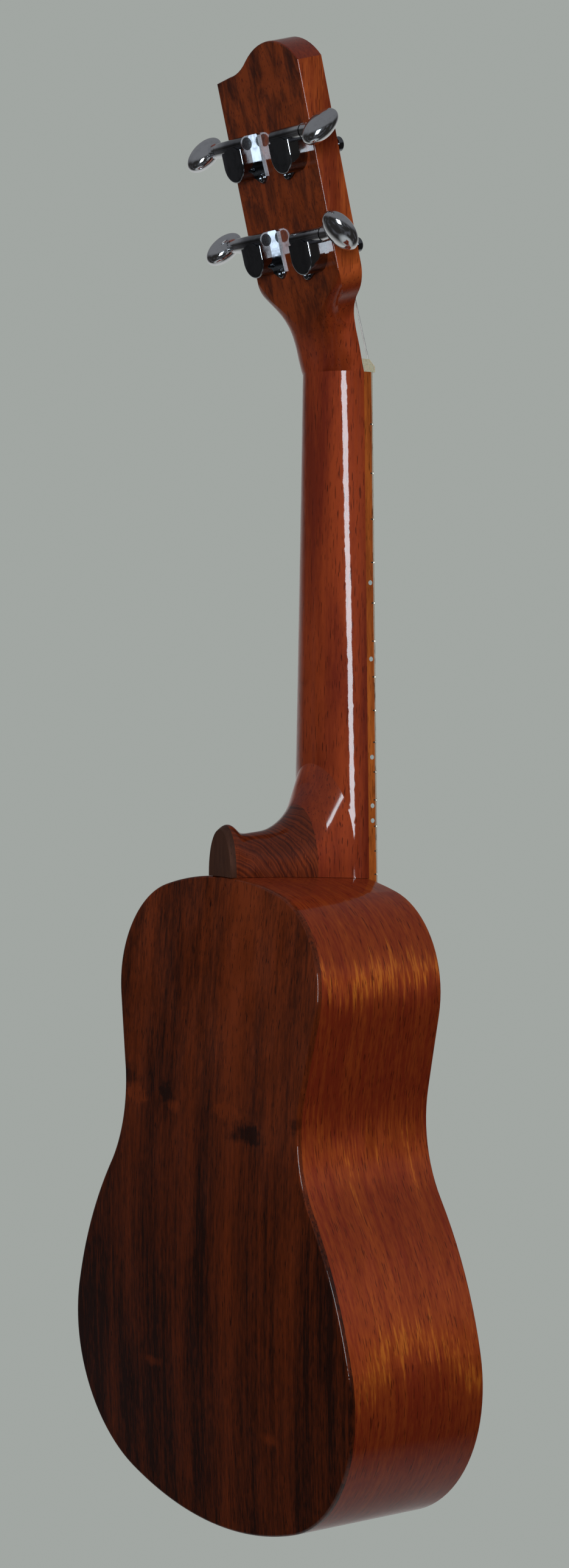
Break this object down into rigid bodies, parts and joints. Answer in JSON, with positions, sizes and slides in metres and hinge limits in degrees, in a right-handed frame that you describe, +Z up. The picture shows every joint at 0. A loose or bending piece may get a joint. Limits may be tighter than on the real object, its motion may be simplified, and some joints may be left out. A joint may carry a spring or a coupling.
{
  "type": "ukulele",
  "caption": "Small stringed instrument with a waisted hollow body, glued neck, fretted fingerboard and a leaned-back head with geared tuners for its strings.",
  "frame": {"origin": "on the neck's centre plane and front face, at the nut end of the fingerboard, where a hanger holds the instrument under its head", "axes": "+Z up along the neck towards the head; +Y out of the back; +X towards the treble side, so the strings are on the -Y side"},
  "size_m": [0.2206, 0.0819, 0.6305],
  "materials": {
    "mahogany_back": "gloss lacquer over dark striped mahogany",
    "mahogany_side": "gloss lacquer over reddish mahogany",
    "mahogany_neck": "gloss lacquer over plain mahogany",
    "heel_cap_wood": "gloss lacquer over dark wood",
    "fingerboard_wood": "oiled",
    "bridge_wood": "oiled dark wood",
    "spruce_inside": "bare wood",
    "rosette_wood": "gloss lacquer over inlaid wood",
    "bone": "polished bone",
    "dot_pearl": "gloss",
    "fret_wire": "polished nickel alloy",
    "chrome": "polished",
    "gear_brass": "plain",
    "steel": "plain",
    "plug_black": "matt",
    "nylon_string": "clear nylon"
  },
  "bodies": {
    "instrument": {"neck": "mahogany_neck", "heel_block": "mahogany_neck", "heel_cap": "heel_cap_wood", "heel_dowels": "spruce_inside", "fingerboard": "fingerboard_wood", "frets": "fret_wire", "nut": "bone", "side_dots": "dot_pearl", "position_dots": "dot_pearl", "soundboard": "mahogany_side", "rosette": "rosette_wood", "back_plate": "mahogany_back", "side_bass": "mahogany_side", "side_treble": "mahogany_side", "neck_block": "spruce_inside", "tail_block": "spruce_inside", "soundboard_linings": "spruce_inside", "back_linings": "spruce_inside", "soundboard_braces": "spruce_inside", "fan_braces": "spruce_inside", "bridge_plate": "spruce_inside", "back_braces": "spruce_inside", "back_strip": "spruce_inside", "bridge": "bridge_wood", "saddle": "bone", "string_1": "nylon_string", "string_2": "nylon_string", "string_3": "nylon_string", "string_4": "nylon_string", "tuner_bushings": "chrome", "tuner_screws": "chrome", "tuner_end_plugs": "plug_black", "tuner_housing_1": "chrome", "tuner_housing_2": "chrome", "tuner_housing_3": "chrome", "tuner_housing_4": "chrome"},
    "button_shaft_1": {"worm_shaft_1": "steel", "button_1": "chrome"},
    "post_assembly_1": {"post_1": "chrome", "gear_1": "gear_brass", "gear_screw_1": "steel", "string_winding_1": "nylon_string"},
    "button_shaft_2": {"worm_shaft_2": "steel", "button_2": "chrome"},
    "post_assembly_2": {"post_2": "chrome", "gear_2": "gear_brass", "gear_screw_2": "steel", "string_winding_2": "nylon_string"},
    "button_shaft_3": {"worm_shaft_3": "steel", "button_3": "chrome"},
    "post_assembly_3": {"post_3": "chrome", "gear_3": "gear_brass", "gear_screw_3": "steel", "string_winding_3": "nylon_string"},
    "button_shaft_4": {"worm_shaft_4": "steel", "button_4": "chrome"},
    "post_assembly_4": {"post_4": "chrome", "gear_4": "gear_brass", "gear_screw_4": "steel", "string_winding_4": "nylon_string"}
  },
  "joints": [
    {"name": "button_spin_1", "type": "hinge", "parent": "instrument", "child": "button_shaft_1", "pos_m": [0.017, 0.03167, 0.05328], "axis": [1, 0, 0], "range_deg": [-450, 990]},
    {"name": "post_spin_1", "type": "hinge", "parent": "instrument", "child": "post_assembly_1", "pos_m": [0.017, 0.02537, 0.04755], "axis": [0, 0.9659, -0.2588], "range_deg": [-70.81, 32.24]},
    {"name": "button_spin_2", "type": "hinge", "parent": "instrument", "child": "button_shaft_2", "pos_m": [0.017, 0.04163, 0.09047], "axis": [1, 0, 0], "range_deg": [-450, 990]},
    {"name": "post_spin_2", "type": "hinge", "parent": "instrument", "child": "post_assembly_2", "pos_m": [0.017, 0.03534, 0.08474], "axis": [0, 0.9659, -0.2588], "range_deg": [-70.81, 32.24]},
    {"name": "button_spin_3", "type": "hinge", "parent": "instrument", "child": "button_shaft_3", "pos_m": [-0.017, 0.04137, 0.0895], "axis": [-1, 0, 0], "range_deg": [-990, 450]},
    {"name": "post_spin_3", "type": "hinge", "parent": "instrument", "child": "post_assembly_3", "pos_m": [-0.017, 0.03508, 0.08378], "axis": [0, 0.9659, -0.2588], "range_deg": [-32.24, 70.81]},
    {"name": "button_spin_4", "type": "hinge", "parent": "instrument", "child": "button_shaft_4", "pos_m": [-0.017, 0.03102, 0.05086], "axis": [-1, 0, 0], "range_deg": [-990, 450]},
    {"name": "post_spin_4", "type": "hinge", "parent": "instrument", "child": "post_assembly_4", "pos_m": [-0.017, 0.02473, 0.04514], "axis": [0, 0.9659, -0.2588], "range_deg": [-32.24, 70.81]}
  ],
  "couplings": [
    {"joint": "post_spin_1", "follows": "button_spin_1", "ratio": -0.071429},
    {"joint": "post_spin_2", "follows": "button_spin_2", "ratio": -0.071429},
    {"joint": "post_spin_3", "follows": "button_spin_3", "ratio": -0.071429},
    {"joint": "post_spin_4", "follows": "button_spin_4", "ratio": -0.071429}
  ]
}
